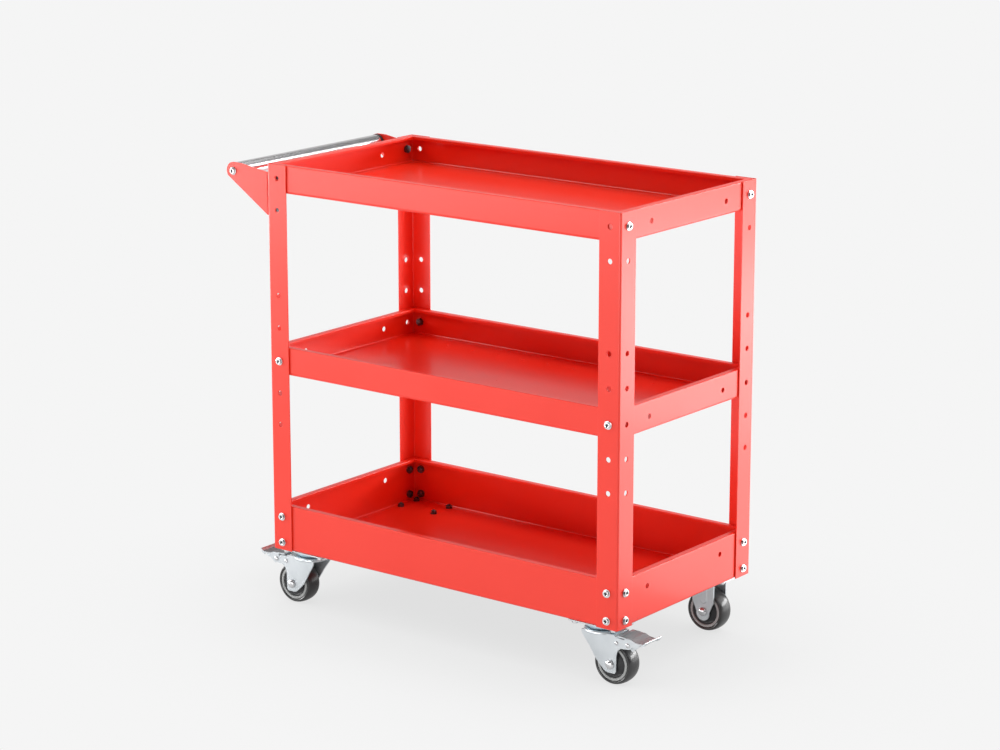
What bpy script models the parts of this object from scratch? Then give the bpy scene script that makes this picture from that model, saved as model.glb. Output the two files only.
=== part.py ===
# Three-shelf tool cart of bent steel sheet: four angle posts, three bolted trays,
# a cross handle at the left end, two braked swivel casters in front and two fixed
# casters behind. Metres, +Z up, X along the long side, the handle end at -X.
import math

import bmesh
import bpy
from mathutils import Matrix, Vector

for old in list(bpy.data.objects):
    bpy.data.objects.remove(old, do_unlink=True)

MM = 0.001
# Lengths in millimetres. x, y and z below are measured from the front left post's
# outer corner at its lower end; place() moves them to the row frame.
LONG, WIDE, TALL = 746.0, 392.0, 690.0
LEG, SHEET = 42.0, 2.0
FLOOR = -103.0
MID_X, MID_Y = 349.0, WIDE / 2
TRAY_IN = 2.7
TRAY_WALL = 1.2
HOLE_Z = (666.0, 610.0, 460.0, 402.3, 343.0, 285.5, 229.0, 61.0, 14.0)
FLANGE_MID = 21.0
KING_X, KING_Y = 56.0, 37.4
TRAIL, AXLE_Z, WHEEL_R = 30.5, -66.0, 37.0
HANDLE_X, HANDLE_Z = -79.5, 668.5


def place(x, y, z):
    return Vector(((x - MID_X) * MM, (y - MID_Y) * MM, (z - FLOOR) * MM))


def material(name, colour, rough, metal):
    m = bpy.data.materials.new(name)
    m.use_nodes = True
    b = m.node_tree.nodes["Principled BSDF"]
    b.inputs["Base Color"].default_value = (*colour, 1)
    b.inputs["Roughness"].default_value = rough
    b.inputs["Metallic"].default_value = metal
    return m


RED = material("red_paint", (0.78, 0.05, 0.035), 0.35, 0.0)
CHROME = material("chrome", (0.78, 0.78, 0.79), 0.12, 1.0)
ZINC = material("zinc", (0.72, 0.75, 0.78), 0.32, 1.0)
BOLT = material("bolt_steel", (0.80, 0.80, 0.80), 0.25, 1.0)
TYRE = material("black_tyre", (0.022, 0.022, 0.024), 0.45, 0.0)
CORE = material("grey_core", (0.55, 0.54, 0.50), 0.55, 0.0)


def finish(name, bm, mat, matrix=None):
    """Turns bm, in millimetres, into an object and smooths what is round."""
    bmesh.ops.remove_doubles(bm, verts=bm.verts, dist=0.001)
    bmesh.ops.recalc_face_normals(bm, faces=bm.faces)
    bmesh.ops.scale(bm, vec=(MM, MM, MM), verts=bm.verts)
    me = bpy.data.meshes.new(name)
    bm.to_mesh(me)
    bm.free()
    me.materials.append(mat)
    me.shade_smooth()
    me.set_sharp_from_angle(angle=math.radians(32))
    ob = bpy.data.objects.new(name, me)
    bpy.context.collection.objects.link(ob)
    if matrix is not None:
        ob.matrix_world = matrix
    return ob


def copy(name, source, matrix):
    ob = bpy.data.objects.new(name, source.data)
    bpy.context.collection.objects.link(ob)
    ob.matrix_world = matrix
    return ob


def at(x, y, z, turn=0.0, axis="Z"):
    return Matrix.Translation(place(x, y, z)) @ Matrix.Rotation(math.radians(turn), 4, axis)


def prism(bm, outline, depth, axis="Y", start=0.0):
    """Extrudes a flat outline. axis is the direction of depth; the outline's two
    numbers are the other two axes in x, y, z order."""

    def point(a, b):
        return {"Z": (a, b, start), "Y": (a, start, b), "X": (start, a, b)}[axis]

    verts = [bm.verts.new(point(a, b)) for a, b in outline]
    face = bm.faces.new(verts)
    made = bmesh.ops.extrude_face_region(bm, geom=[face])
    top = [g for g in made["geom"] if isinstance(g, bmesh.types.BMVert)]
    way = {"Z": (0, 0, depth), "Y": (0, depth, 0), "X": (depth, 0, 0)}[axis]
    bmesh.ops.translate(bm, verts=top, vec=way)
    return bm


def turned(profile, steps, axis="Z", closed=False):
    """Spins (radius, height) points about axis, in millimetres, round the origin."""
    bm = bmesh.new()
    verts = [bm.verts.new((r, 0, h)) for r, h in profile]
    edges = [bm.edges.new(pair) for pair in zip(verts, verts[1:])]
    if closed:
        edges.append(bm.edges.new((verts[-1], verts[0])))
    bmesh.ops.spin(
        bm,
        geom=verts + edges,
        cent=(0, 0, 0),
        axis=(0, 0, 1),
        dvec=(0, 0, 0),
        angle=math.tau,
        steps=steps,
        use_merge=True,
    )
    bmesh.ops.remove_doubles(bm, verts=bm.verts, dist=0.001)
    if axis == "Y":
        bmesh.ops.rotate(bm, verts=bm.verts, matrix=Matrix.Rotation(math.pi / 2, 3, "X"))
    if axis == "X":
        bmesh.ops.rotate(bm, verts=bm.verts, matrix=Matrix.Rotation(math.pi / 2, 3, "Y"))
    return bm


def arc(cx, cy, r, a0, a1, n):
    return [
        (
            cx + r * math.cos(math.radians(a0 + (a1 - a0) * i / n)),
            cy + r * math.sin(math.radians(a0 + (a1 - a0) * i / n)),
        )
        for i in range(n + 1)
    ]


def helper(name, bm, matrix=None):
    """A hidden shape for a Boolean modifier."""
    bmesh.ops.recalc_face_normals(bm, faces=bm.faces)
    bmesh.ops.scale(bm, vec=(MM, MM, MM), verts=bm.verts)
    me = bpy.data.meshes.new(name)
    bm.to_mesh(me)
    bm.free()
    ob = bpy.data.objects.new(name, me)
    bpy.context.collection.objects.link(ob)
    if matrix is not None:
        ob.matrix_world = matrix
    ob.hide_render = True
    ob.display_type = "WIRE"
    return ob


def rods(bm, places, radius, length, axis, steps=8):
    """Adds a round bar centred on each place, for drilling."""
    for x, y, z in places:
        turn = {
            "X": Matrix.Rotation(math.pi / 2, 4, "Y"),
            "Y": Matrix.Rotation(math.pi / 2, 4, "X"),
            "Z": Matrix.Identity(4),
        }[axis]
        turn = turn @ Matrix.Rotation(math.pi / steps, 4, "Z")
        bmesh.ops.create_cone(
            bm,
            cap_ends=True,
            segments=steps,
            radius1=radius,
            radius2=radius,
            depth=length,
            matrix=Matrix.Translation((x, y, z)) @ turn,
        )
    return bm


def boolean(ob, tool, operation="DIFFERENCE"):
    m = ob.modifiers.new(operation.title(), "BOOLEAN")
    m.operation = operation
    m.object = tool
    return m


def settle(ob):
    """Applies the modifiers, so that copies can share the finished mesh."""
    bpy.context.view_layer.update()
    graph = bpy.context.evaluated_depsgraph_get()
    me = bpy.data.meshes.new_from_object(ob.evaluated_get(graph))
    tools = [m.object for m in ob.modifiers if m.type == "BOOLEAN"]
    ob.modifiers.clear()
    ob.data = me
    me.shade_smooth()
    me.set_sharp_from_angle(angle=math.radians(32))
    for t in tools:
        bpy.data.objects.remove(t, do_unlink=True)


# ---- posts: equal-leg angles with nine holes in each flange -------------------------
bm = bmesh.new()
angle = (
    [(LEG, 0.0), (LEG, SHEET)]
    + arc(SHEET + 1.0, SHEET + 1.0, 1.0, 270, 180, 2)
    + [(SHEET, LEG), (0.0, LEG)]
    + arc(3.0, 3.0, 3.0, 180, 270, 4)
)
prism(bm, angle, TALL, "Z")
post = finish("post_front_left", bm, RED)
cut = bmesh.new()
rods(cut, [(FLANGE_MID, 1.0, z) for z in HOLE_Z], 4.6, 8.0, "Y")
rods(cut, [(1.0, FLANGE_MID, z) for z in HOLE_Z], 4.6, 8.0, "X")
boolean(post, helper("post_holes", cut))
settle(post)
post.matrix_world = at(0, 0, 0)
copy("post_front_right", post, at(LONG, 0, 0, 90))
copy("post_back_right", post, at(LONG, WIDE, 0, 180))
copy("post_back_left", post, at(0, WIDE, 0, 270))


# ---- trays: one pressed sheet each, with the rim folded in and down -------------------
def ring(inset, z, r=4.0):
    """A rounded rectangle, inset from the tray's outer wall, about the cart's middle."""
    hx, hy = LONG / 2 - TRAY_IN - inset, WIDE / 2 - TRAY_IN - inset
    r = max(r - inset, 0.6)
    pts = []
    for cx, cy, a in ((hx, hy, 0), (-hx, hy, 90), (-hx, -hy, 180), (hx, -hy, 270)):
        cx -= math.copysign(r, cx)
        cy -= math.copysign(r, cy)
        pts += arc(cx, cy, r, a, a + 90, 3)
    return [(x, y, z) for x, y in pts]


def tray(name, z0, high, floor_holes, wall_holes_x, wall_holes_y):
    t, rim, lip = TRAY_WALL, 12.0, 6.0
    sections = [
        (2.0, 0.0),
        (0.5, 0.5),
        (0.0, 2.0),
        (0.0, high - 1.4),
        (0.4, high - 0.4),
        (1.4, high),
        (rim - 0.6, high),
        (rim, high - 0.7),
        (rim, high - lip),
        (rim - t, high - lip),
        (rim - t, high - t),
        (t, high - t),
        (t, 2.4),
        (t + 0.4, t + 0.4),
        (t + 1.2, t),
    ]
    # start from the underside and extrude its edge from section to section
    bm = bmesh.new()
    vs = [bm.verts.new(p) for p in ring(*sections[0])]
    edges = [bm.edges.new((a, b)) for a, b in zip(vs, vs[1:] + vs[:1])]
    bmesh.ops.edgeloop_fill(bm, edges=edges)
    for here, there in zip(sections, sections[1:]):
        goal = {tuple(round(c, 3) for c in a): b for a, b in zip(ring(*here), ring(*there))}
        made = bmesh.ops.extrude_edge_only(bm, edges=edges)["geom"]
        for v in made:
            if isinstance(v, bmesh.types.BMVert):
                v.co = goal[tuple(round(c, 3) for c in v.co)]
        new = {v for v in made if isinstance(v, bmesh.types.BMVert)}
        edges = [e for e in made if isinstance(e, bmesh.types.BMEdge) and set(e.verts) <= new]
    bmesh.ops.edgeloop_fill(bm, edges=edges)
    ob = finish(name, bm, RED)
    cut = bmesh.new()
    hx, hy = LONG / 2, WIDE / 2
    if floor_holes:
        rods(cut, [(x - hx, y - hy, 1.0) for x, y, r in floor_holes], floor_holes[0][2], 8.0, "Z")
    rods(cut, [(sx * (hx - 3.0), y - hy, z - z0) for sx in (-1, 1) for y, z in wall_holes_x],
         4.6, 8.0, "X")
    rods(cut, [(x - hx, sy * (hy - 3.0), z - z0) for sy in (-1, 1) for x, z in wall_holes_y],
         4.6, 8.0, "Y")
    boolean(ob, helper(name + "_holes", cut))
    settle(ob)
    ob.matrix_world = at(hx, hy, z0)
    return ob


F, B = FLANGE_MID, WIDE - FLANGE_MID
FX, BX = FLANGE_MID, LONG - FLANGE_MID
SIDE = (88.5, WIDE - 88.5)
tray("tray_top", 640.5, 49.3, [], [(F, 666), (B, 666), (SIDE[0], 664), (SIDE[1], 664)],
     [(FX, 666), (BX, 666)])
row = [(123.0 + 56.4 * i, 342.0, 2.2) for i in range(10)]
tray("tray_middle", 319.5, 49.3, row, [(F, 343), (B, 343), (SIDE[0], 342.5), (SIDE[1], 342.5)],
     [(FX, 343), (BX, 343)])
studs = [
    (kx + dx, ky + dy, 3.7)
    for kx in (KING_X, LONG - KING_X)
    for ky in (KING_Y, WIDE - KING_Y)
    for dx in (-39.0, 39.0)
    for dy in (-22.5, 22.5)
]
tray("tray_bottom", 0.0, 82.0, studs,
     [(F, 61), (B, 61), (F, 14), (B, 14), (SIDE[0], 55), (SIDE[1], 55)],
     [(FX, 61), (BX, 61), (FX, 14), (BX, 14)])


# ---- bolts: button head with a hex socket, shank, and the nut behind the sheets -------
def hexagon(bm, low, high, flat):
    """Pushes the twelve-sided ring between two heights onto a hexagon."""
    for v in bm.verts:
        r = math.hypot(v.co.x, v.co.y)
        if low - 0.01 < v.co.z < high + 0.01 and r > 5.2:
            k = round(math.degrees(math.atan2(v.co.y, v.co.x)) / 30)
            want = flat / 2 if k % 2 else flat / math.sqrt(3)
            v.co.x *= want / r
            v.co.y *= want / r


def bolt_mesh(name, grip, socket=True):
    """The head is above z = 0.2 and the nut starts at z = -grip."""
    g = -grip
    prof = [(0.0, 2.2), (2.8, 2.2), (2.8, 4.4), (5.0, 4.2), (7.0, 1.4), (7.0, 0.2), (4.0, 0.2)]
    prof += [(4.0, g), (7.2, g), (7.2, g - 5.0), (4.0, g - 5.0), (3.4, g - 6.4), (0.0, g - 6.4)]
    bm = turned(prof, 12)
    hexagon(bm, g - 5.0, g, 13.0)
    return finish(name, bm, BOLT)


OUT = {
    "front": lambda x, z: at(x, 0, z, 90, "X"),
    "back": lambda x, z: at(x, WIDE, z, -90, "X"),
    "left": lambda y, z: at(0, y, z, -90, "Y"),
    "right": lambda y, z: at(LONG, y, z, 90, "Y"),
}
first = bolt_mesh("bolt_bottom_front_left_a", 4.1)
n = 0
for z, tag in ((61.0, "upper"), (14.0, "lower")):
    for face, a in (("front", FX), ("front", BX), ("back", FX), ("back", BX)):
        side = "left" if a == FX else "right"
        name = f"bolt_bottom_{face}_{side}_long_{tag}"
        if n == 0:
            first.name = name
            first.matrix_world = OUT[face](a, z)
        else:
            copy(name, first, OUT[face](a, z))
        n += 1
    for face, a in (("left", F), ("left", B), ("right", F), ("right", B)):
        side = "front" if a == F else "back"
        copy(f"bolt_bottom_{side}_{face}_end_{tag}", first, OUT[face](a, z))
for face, a in (("front", FX), ("front", BX), ("back", FX), ("back", BX)):
    side = "left" if a == FX else "right"
    copy(f"bolt_middle_{face}_{side}", first, OUT[face](a, 343.0))
for a, side in ((F, "front"), (B, "back")):
    copy(f"bolt_top_{side}_right", first, OUT["right"](a, 666.0))
# At the handle end the head sits on the bracket's flange, 2.3 mm further out.
longer = bolt_mesh("bolt_top_front_left", 6.4)
longer.matrix_world = OUT["left"](F, 666.0) @ Matrix.Translation((0, 0, 2.3 * MM))
copy("bolt_top_back_left", longer, OUT["left"](B, 666.0) @ Matrix.Translation((0, 0, 2.3 * MM)))
short = bolt_mesh("bolt_bracket_front", 4.5)
short.matrix_world = OUT["left"](F, 610.0) @ Matrix.Translation((0, 0, 2.3 * MM))
copy("bolt_bracket_back", short, OUT["left"](B, 610.0) @ Matrix.Translation((0, 0, 2.3 * MM)))

# ---- handle: two bent brackets and a tube ---------------------------------------------
web = (
    [(-2.3, 598.5), (-2.3, 675.0), (-8.0, 675.8), (-33.0, 679.5), (-62.0, 684.0)]
    + arc(HANDLE_X, HANDLE_Z, 15.5, 90, 215, 7)
)
bm = bmesh.new()
prism(bm, web, 2.0, "Y", 0.3)
front = finish("handle_bracket_front", bm, RED, at(0, 0, 0))
# the flange that lies on the post, joined to the web along the bend
bm = bmesh.new()
outline = [(-2.3, 2.2), (-2.3, 0.3), (-1.0, 0.3), (-0.3, 1.0), (-0.3, 40.0), (-2.3, 40.0)]
prism(bm, outline, 76.5, "Z", 598.5)
boolean(front, helper("flange", bm, at(0, 0, 0)), "UNION")
cut = bmesh.new()
rods(cut, [(-1.0, F, 666.0), (-1.0, F, 610.0)], 4.4, 8.0, "X", 12)
rods(cut, [(HANDLE_X, 1.0, HANDLE_Z)], 4.4, 8.0, "Y", 12)
boolean(front, helper("bracket_holes", cut, at(0, 0, 0)))
settle(front)
bm = bmesh.new()
bm.from_mesh(front.data)
bmesh.ops.scale(bm, vec=(1, -1, 1), verts=bm.verts)
bmesh.ops.reverse_faces(bm, faces=bm.faces)
me = bpy.data.meshes.new("handle_bracket_back")
bm.to_mesh(me)
bm.free()
me.materials.append(RED)
back = bpy.data.objects.new("handle_bracket_back", me)
bpy.context.collection.objects.link(back)
back.matrix_world = at(0, WIDE, 0)

half = WIDE / 2 - 2.6
tube = [(4.4, -half), (13.2, -half), (14.0, -half + 0.8), (14.0, half - 0.8), (13.2, half),
        (4.4, half), (4.4, half - 6.0), (12.5, half - 6.0), (12.5, -half + 6.0), (4.4, -half + 6.0)]
bm = turned(tube, 24, "Y", closed=True)
finish("handle_tube", bm, CHROME, at(HANDLE_X, WIDE / 2, HANDLE_Z))
prof = [(0.0, 2.2), (2.8, 2.2), (2.8, 4.4), (5.0, 4.2), (7.0, 1.4), (7.0, 0.2), (4.0, 0.2),
        (4.0, -19.0), (3.2, -20.0), (0.0, -20.0)]
pin = finish("handle_bolt_front", turned(prof, 12), BOLT, at(HANDLE_X, 0.3, HANDLE_Z, 90, "X"))
copy("handle_bolt_back", pin, at(HANDLE_X, WIDE - 0.3, HANDLE_Z, -90, "X"))


# ---- casters ---------------------------------------------------------------------------
def stud_tools(tag, matrix):
    """Four studs with their nuts above the tray floor, to be joined to a plate."""
    tools = []
    for i, (x, y) in enumerate(((-39, -22.5), (39, -22.5), (39, 22.5), (-39, 22.5))):
        prof = [(0.0, -2.0), (3.1, -2.0), (3.1, 1.5), (5.77, 1.5), (5.77, 6.5), (3.1, 6.5),
                (3.1, 8.8), (0.0, 8.8)]
        bm = turned(prof, 6)
        bmesh.ops.translate(bm, verts=bm.verts, vec=(x, y, 0))
        tools.append(helper(f"stud_{tag}_{i}", bm, matrix))
    return tools


def plate(bm):
    outline = []
    for cx, cy, a in ((43, 27, 0), (-43, 27, 90), (-43, -27, 180), (43, -27, 270)):
        outline += arc(cx, cy, 5.0, a, a + 90, 2)
    return prism(bm, outline, -2.5, "Z", -0.3)


# top plate of a swivel caster, with its ball race cup and the king pin
bm = plate(bmesh.new())
top = finish("caster_plate_front_left", bm, ZINC)
cup = [(0.0, -1.5), (27.0, -1.5), (28.0, -3.6), (27.2, -7.0), (24.0, -10.0), (5.0, -10.0),
       (5.0, -17.0), (8.5, -17.0), (8.0, -19.0), (5.5, -20.4), (0.0, -20.4)]
boolean(top, helper("race_cup", turned(cup, 24)), "UNION")
for t in stud_tools("a", Matrix.Identity(4)):
    boolean(top, t, "UNION")
settle(top)
top.matrix_world = at(KING_X, KING_Y, 0)
copy("caster_plate_front_right", top, at(LONG - KING_X, KING_Y, 0))

# swivel fork: crown over the race and two legs with the brake arms. It trails to +x
# here, and each copy is turned so that it trails outward.
side = (
    [(-26.0, -14.0), (34.0, -14.0), (40.0, -18.0), (64.0, -18.6)]
    + arc(66.0, -26.0, 7.2, 75, -90, 6)
    + [(50.0, -36.5), (45.5, -39.0), (43.0, -44.0), (42.0, -73.0)]
    + [(40.5, -78.0), (36.0, -80.5), (25.0, -80.5), (17.5, -77.5), (0.0, -61.5), (-10.0, -46.0),
       (-18.0, -33.0), (-24.0, -22.0)]
)
bm = bmesh.new()
prism(bm, side, 40.4, "Y", -20.2)
fork = finish("caster_fork_front_right", bm, ZINC)
crown = [(0.0, -11.0), (27.0, -11.0), (30.0, -12.6), (30.0, -15.0), (27.5, -16.4), (0.0, -16.4)]
boolean(fork, helper("crown", turned(crown, 28)), "UNION")
cut = bmesh.new()
bmesh.ops.create_cube(cut, size=1.0, matrix=Matrix.Translation((30, 0, -56.4))
                      @ Matrix.Diagonal((160, 34.8, 80, 1)))
boolean(fork, helper("fork_gap", cut))
cut = bmesh.new()
rods(cut, [(0, 0, -14)], 5.1, 10.0, "Z", 24)
boolean(fork, helper("king_hole", cut))
cut = bmesh.new()
rods(cut, [(TRAIL, 0, AXLE_Z)], 4.4, 60.0, "Y", 16)
rods(cut, [(66, 0, -26.0)], 3.1, 60.0, "Y", 16)
boolean(fork, helper("fork_holes", cut))
settle(fork)
fork.matrix_world = at(LONG - KING_X, KING_Y, 0)
copy("caster_fork_front_left", fork, at(KING_X, KING_Y, 0, 180))

# fixed casters: plate and fork in one pressing
bm = plate(bmesh.new())
rigid = finish("caster_fork_back_right", bm, ZINC)
leg = (
    [(-24.0, -1.6), (24.0, -1.6), (21.5, -8.0), (21.0, -48.0)]
    + arc(0.0, -69.0, 13.2, 15, -195, 8)
    + [(-22.0, -48.0), (-22.0, -8.0)]
)
for s, tag in ((-20.4, "a"), (17.6, "b")):
    bm = bmesh.new()
    prism(bm, leg, 2.8, "Y", s)
    boolean(rigid, helper(f"leg_{tag}", bm), "UNION")
for t in stud_tools("b", Matrix.Identity(4)):
    boolean(rigid, t, "UNION")
cut = bmesh.new()
rods(cut, [(0, 0, AXLE_Z)], 4.4, 60.0, "Y", 16)
boolean(rigid, helper("rigid_holes", cut))
settle(rigid)
rigid.matrix_world = at(LONG - KING_X, WIDE - KING_Y, 0)
copy("caster_fork_back_left", rigid, at(KING_X, WIDE - KING_Y, 0, 180))

# wheels, one axle bolt each
wheels = {
    "front_left": (KING_X - TRAIL, KING_Y),
    "front_right": (LONG - KING_X + TRAIL, KING_Y),
    "back_left": (KING_X, WIDE - KING_Y),
    "back_right": (LONG - KING_X, WIDE - KING_Y),
}
tread = [(28.6, -13.0), (33.0, -15.5), (35.4, -14.6), (37.0, -11.0), (37.0, 11.0), (35.4, 14.6),
         (33.0, 15.5), (28.6, 13.0)]
core = [(4.1, -16.6), (8.0, -16.6), (8.6, -9.5), (25.0, -9.5), (26.2, -14.0), (28.3, -14.0),
        (28.3, 14.0), (26.2, 14.0), (25.0, 9.5), (8.6, 9.5), (8.0, 16.6), (4.1, 16.6)]
axle = [(0.0, -25.6), (4.0, -25.4), (6.6, -23.8), (7.8, -21.0), (7.8, -20.6), (4.0, -20.6),
        (4.0, 20.6), (7.2, 20.6), (7.2, 25.4), (4.0, 25.6), (3.4, 27.2), (0.0, 27.2)]
tyre_ob = core_ob = axle_ob = None
for tag, (x, y) in wheels.items():
    m = at(x, y, AXLE_Z)
    if tyre_ob is None:
        tyre_ob = finish(f"wheel_tyre_{tag}", turned(tread, 32, "Y", closed=True), TYRE, m)
        core_ob = finish(f"wheel_core_{tag}", turned(core, 24, "Y", closed=True), CORE, m)
        bm = turned(axle, 12)
        hexagon(bm, 20.6, 25.4, 13.0)
        bmesh.ops.rotate(bm, verts=bm.verts, matrix=Matrix.Rotation(-math.pi / 2, 3, "X"))
        axle_ob = finish(f"caster_axle_{tag}", bm, BOLT, m)
    else:
        copy(f"wheel_tyre_{tag}", tyre_ob, m)
        copy(f"wheel_core_{tag}", core_ob, m)
        copy(f"caster_axle_{tag}", axle_ob, m)

# brake pedals, each with its pivot rivet: origin on the pivot
pedal = (
    [(-18.0, 12.4), (-14.0, 12.4), (-2.0, 11.0), (4.0, 11.4), (9.0, 9.4), (14.0, 7.6),
     (24.0, 7.2), (30.0, 8.2), (35.5, 12.6), (37.0, 11.2), (31.2, 6.4), (24.0, 5.2),
     (14.0, 5.6), (8.2, 7.6), (3.4, 9.4), (-2.2, 9.0), (-14.0, 10.4), (-18.0, 10.4)]
)
bm = bmesh.new()
prism(bm, pedal, 43.0, "Y", -21.5)
press = finish("brake_pedal_front_right", bm, ZINC)
cheek = [(-6.0, 10.0), (-6.8, -2.0), (-4.0, -6.0), (2.0, -7.0), (6.0, -9.6), (12.0, -5.0),
         (20.0, 1.0), (26.0, 6.0), (14.0, 6.8), (8.4, 8.6), (3.6, 10.4)]
for s, tag in ((-16.8, "a"), (14.8, "b")):
    bm = bmesh.new()
    prism(bm, cheek, 2.0, "Y", s)
    boolean(press, helper(f"cheek_{tag}", bm), "UNION")
cut = bmesh.new()
rods(cut, [(0, 0, 0)], 3.1, 60.0, "Y", 16)
boolean(press, helper("pedal_hole", cut))
settle(press)
rivet = [(0.0, -22.6), (2.6, -22.4), (4.4, -20.5), (3.0, -20.5), (3.0, 20.5), (4.4, 20.5),
         (2.6, 22.4), (0.0, 22.6)]
rivet_ob = finish("brake_pivot_front_right", turned(rivet, 12, "Y"), BOLT)
press.matrix_world = at(LONG - KING_X + 66, KING_Y, -26)
rivet_ob.matrix_world = at(LONG - KING_X + 66, KING_Y, -26)
copy("brake_pedal_front_left", press, at(KING_X - 66, KING_Y, -26, 180))
copy("brake_pivot_front_left", rivet_ob, at(KING_X - 66, KING_Y, -26, 180))
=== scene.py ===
"""A red steel tool cart: four angle posts, three pressed trays, a tube handle and
four casters, two of them swivelling with foot brakes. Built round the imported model."""
import math

import bmesh
import bpy
from mathutils import Matrix, Vector


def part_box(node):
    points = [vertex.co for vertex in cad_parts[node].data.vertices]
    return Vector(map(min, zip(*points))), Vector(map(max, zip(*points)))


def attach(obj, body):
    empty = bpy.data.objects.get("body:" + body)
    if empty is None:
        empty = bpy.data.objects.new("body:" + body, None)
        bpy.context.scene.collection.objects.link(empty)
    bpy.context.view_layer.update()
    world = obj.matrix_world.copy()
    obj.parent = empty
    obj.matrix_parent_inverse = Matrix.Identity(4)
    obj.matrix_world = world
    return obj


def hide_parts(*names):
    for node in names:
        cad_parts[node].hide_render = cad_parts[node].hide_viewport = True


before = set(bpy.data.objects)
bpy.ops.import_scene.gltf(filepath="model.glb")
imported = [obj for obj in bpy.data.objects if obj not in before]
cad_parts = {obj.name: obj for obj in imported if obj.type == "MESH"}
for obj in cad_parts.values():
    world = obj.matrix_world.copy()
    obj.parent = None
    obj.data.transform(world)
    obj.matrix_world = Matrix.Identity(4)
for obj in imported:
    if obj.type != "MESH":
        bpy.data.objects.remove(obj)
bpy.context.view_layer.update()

# ---- corner posts ----------------------------------------------------------------------
# Four equal angles, roll-bent from 2 mm steel strip with a row of punched holes down
# each flange, then powder coated. Everything else is bolted to them.
MM = 0.001
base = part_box("post_front_left")[0]
LONG, WIDE, TALL = (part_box("post_back_right")[1] - base) / MM
FLANGE, SHEET = 42.0, 2.0
HEEL_R, HEEL_INNER_R = 3.4, 1.4
HOLE_LINE, HOLE_R, PUNCH = 21.0, 4.6, 8.0
TOP_ROW, HAND_ROW, MIDDLE_ROW, UPPER_ROW, LOWER_ROW = 666.0, 610.0, 343.0, 61.0, 14.0
HOLE_HEIGHTS = (TOP_ROW, HAND_ROW, 460.0, 402.3, MIDDLE_ROW, 285.5, 229.0,
                UPPER_ROW, LOWER_ROW)


def seat(x, y, z, turn=0.0, axis="Z"):
    """From a part's own millimetres to its seat on the cart, turned about one axis."""
    spot = Matrix.Translation(base + Vector((x, y, z)) * MM)
    return spot @ Matrix.Rotation(math.radians(turn), 4, axis) @ Matrix.Scale(MM, 4)


def effect(name, inputs, outputs):
    """A shader node group with named sockets, and its two end nodes."""
    group = bpy.data.node_groups.new(name, "ShaderNodeTree")
    for way, sockets in (("INPUT", inputs), ("OUTPUT", outputs)):
        for label, kind, value in sockets:
            made = group.interface.new_socket(label, in_out=way, socket_type=kind)
            made.default_value = value
    ends = [group.nodes.new(t) for t in ("NodeGroupInput", "NodeGroupOutput")]
    return group, ends[0].outputs, ends[1].inputs


def wire(tree, kind, sockets=None, **settings):
    """Adds a node, sets its properties, and its inputs by name or by number."""
    node = tree.nodes.new(kind)
    for key, value in settings.items():
        setattr(node, key, value)
    for key, value in (sockets or {}).items():
        if isinstance(value, bpy.types.NodeSocket):
            tree.links.new(value, node.inputs[key])
        else:
            node.inputs[key].default_value = value
    return node


NUMBER, ARROW = "NodeSocketFloat", "NodeSocketVector"

# Grain: fine lumps in a coat or casting, with slow drifts of tone over the surface.
grain, g_in, g_out = effect(
    "grain",
    [("Place", ARROW, (0, 0, 0)), ("Fineness", NUMBER, 900.0), ("Drift", NUMBER, 6.0)],
    [("Height", NUMBER, 0.0), ("Tone", NUMBER, 0.5)],
)
fine = wire(grain, "ShaderNodeTexNoise", {"Vector": g_in["Place"], "Scale": g_in["Fineness"],
                                          "Detail": 2.0, "Roughness": 0.5})
slow = wire(grain, "ShaderNodeTexNoise", {"Vector": g_in["Place"], "Scale": g_in["Drift"],
                                          "Detail": 3.0, "Roughness": 0.55})
grain.links.new(fine.outputs["Fac"], g_out["Height"])
grain.links.new(slow.outputs["Fac"], g_out["Tone"])


def finish_coat(name, colour, rough, metal=0.0, **sockets):
    """A material with its Principled shader's plain numbers set on the shader itself."""
    made = bpy.data.materials.new(name)
    made.use_nodes = True
    tree = made.node_tree
    skin = tree.nodes["Principled BSDF"]
    skin.inputs["Base Color"].default_value = (*colour, 1)
    skin.inputs["Roughness"].default_value = rough
    skin.inputs["Metallic"].default_value = metal
    for key, value in sockets.items():
        skin.inputs[key.replace("_", " ")].default_value = value
    place = wire(tree, "ShaderNodeTexCoord").outputs["Object"]
    return made, tree, skin, place


def add_grain(tree, skin, place, fineness, drift, depth, tones, roughs):
    """Lets a coat's height, tone and roughness follow the grain."""
    g = wire(tree, "ShaderNodeGroup", node_tree=grain)
    tree.links.new(place, g.inputs["Place"])
    g.inputs["Fineness"].default_value = fineness
    g.inputs["Drift"].default_value = drift
    bump = wire(tree, "ShaderNodeBump", {"Height": g.outputs["Height"], "Strength": 0.35,
                                         "Distance": depth})
    tree.links.new(bump.outputs["Normal"], skin.inputs["Normal"])
    tone = wire(tree, "ShaderNodeMix", {"Factor": g.outputs["Tone"]}, data_type="RGBA")
    tone.inputs["A"].default_value = (*tones[0], 1)
    tone.inputs["B"].default_value = (*tones[1], 1)
    tree.links.new(tone.outputs["Result"], skin.inputs["Base Color"])
    rough = wire(tree, "ShaderNodeMapRange", {"Value": g.outputs["Tone"], "From Min": 0.3,
                                              "From Max": 0.7, "To Min": roughs[0],
                                              "To Max": roughs[1]})
    tree.links.new(rough.outputs["Result"], skin.inputs["Roughness"])


RED_A, RED_B = (0.84, 0.021, 0.004), (0.89, 0.027, 0.007)
red, tree, skin, place = finish_coat("red_powder_coat", RED_A, 0.34, Coat_Weight=0.30,
                                     Coat_Roughness=0.16, Coat_IOR=1.5)
add_grain(tree, skin, place, 700.0, 5.0, 0.00004, (RED_A, RED_B), (0.30, 0.38))


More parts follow.
